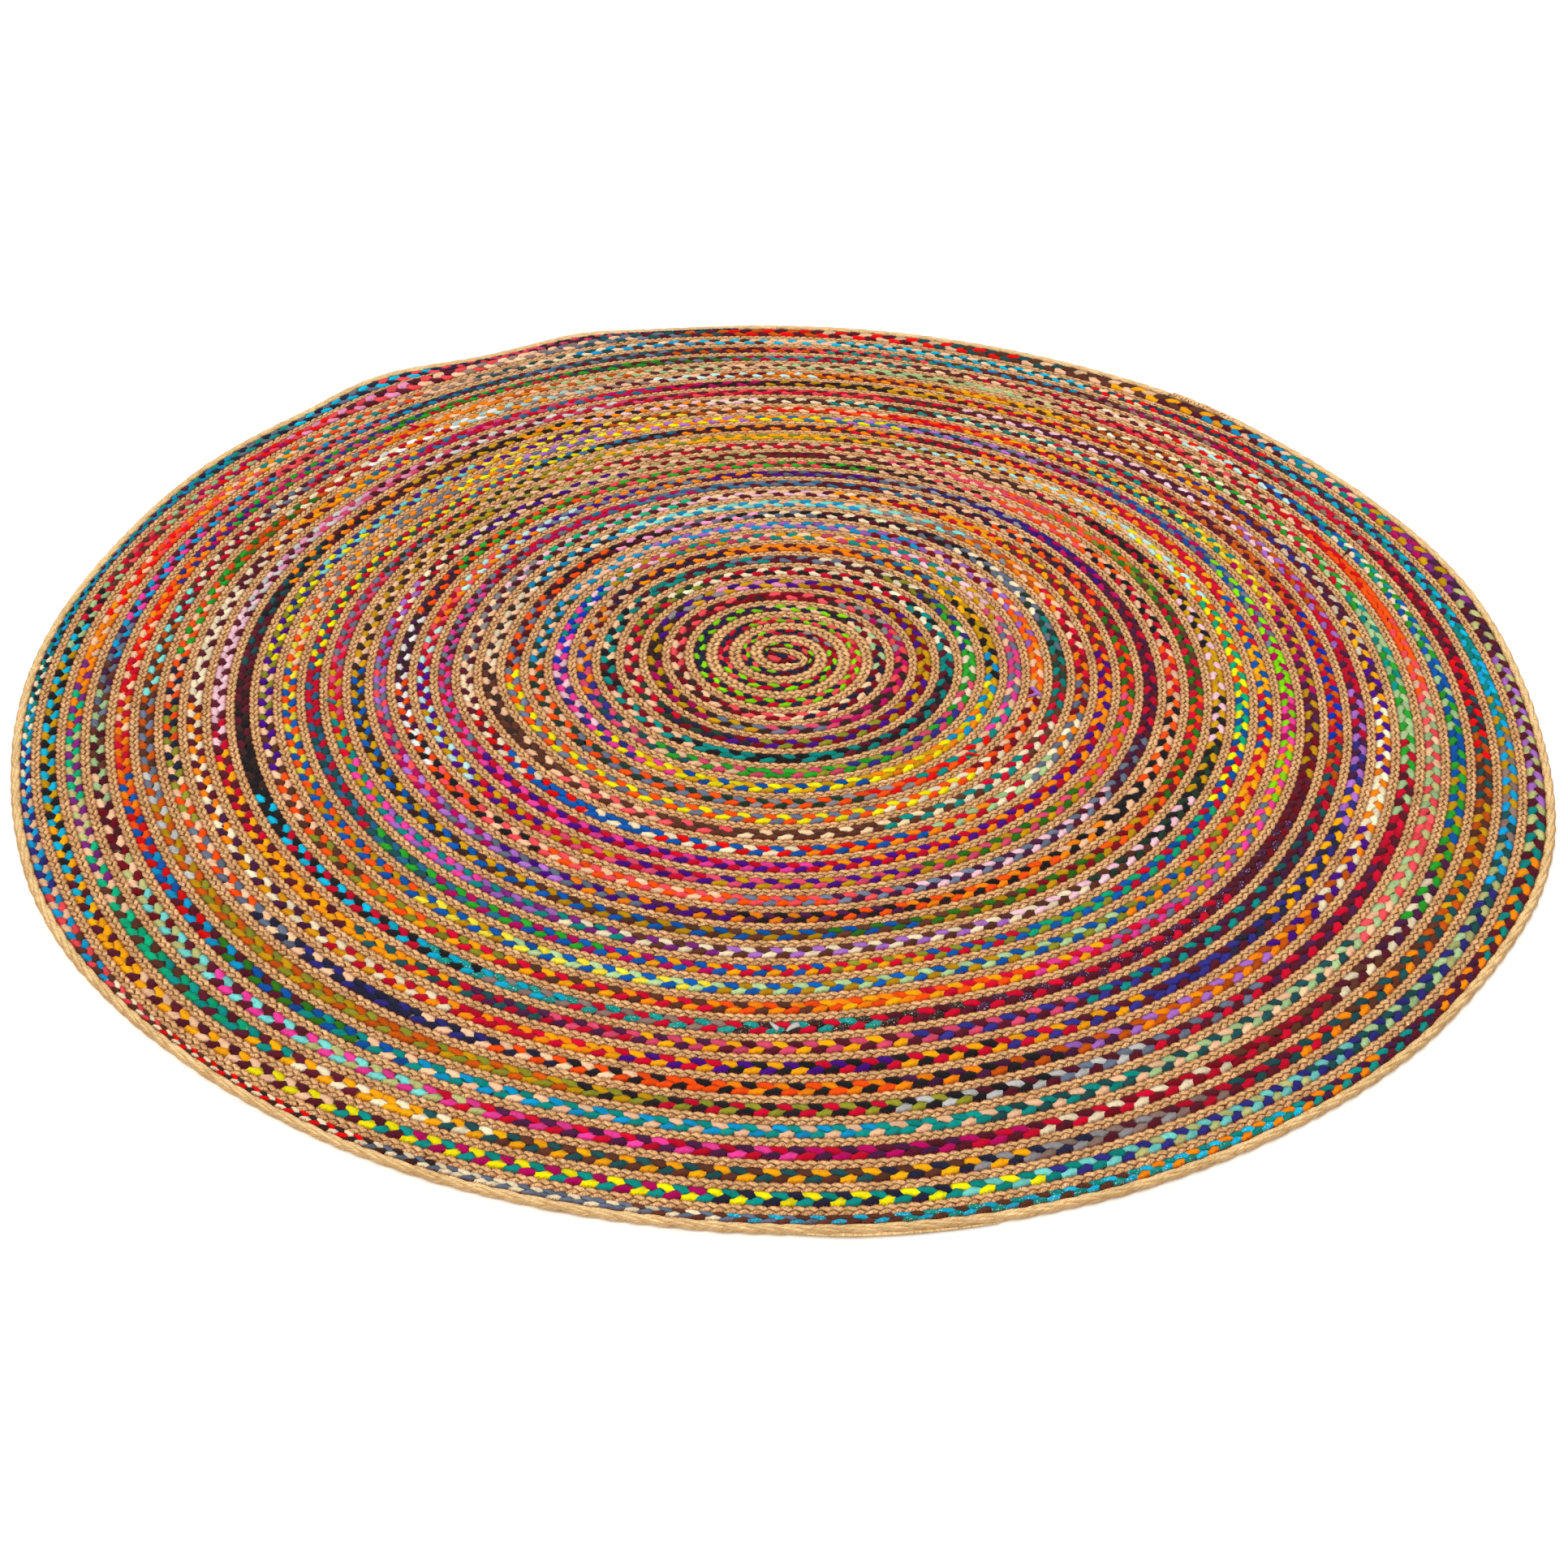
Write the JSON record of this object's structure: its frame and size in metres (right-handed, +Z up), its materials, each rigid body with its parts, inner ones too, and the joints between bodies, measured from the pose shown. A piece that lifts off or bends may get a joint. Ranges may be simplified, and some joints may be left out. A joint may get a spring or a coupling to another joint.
{
  "type": "round rug",
  "caption": "Flat round floor rug wound in a spiral from a jute braid and a multicoloured cotton rag braid, sewn side by side, with a jute braid round the rim.",
  "frame": {"origin": "middle of the spiral, on the floor plane under the rug", "axes": "+Z up out of the floor, through the thickness; +Y towards the far rim in the picture, +X to its right"},
  "size_m": [2.009, 1.9948, 0.0092],
  "materials": {
    "jute": "matte plaited jute fibre",
    "cotton_rag": "matte cotton jersey strips in many colours",
    "jute_edge": "matte plaited jute fibre"
  },
  "bodies": {
    "root": {"jute_braid": "jute", "cotton_braid": "cotton_rag", "border_braid": "jute_edge"}
  },
  "joints": []
}
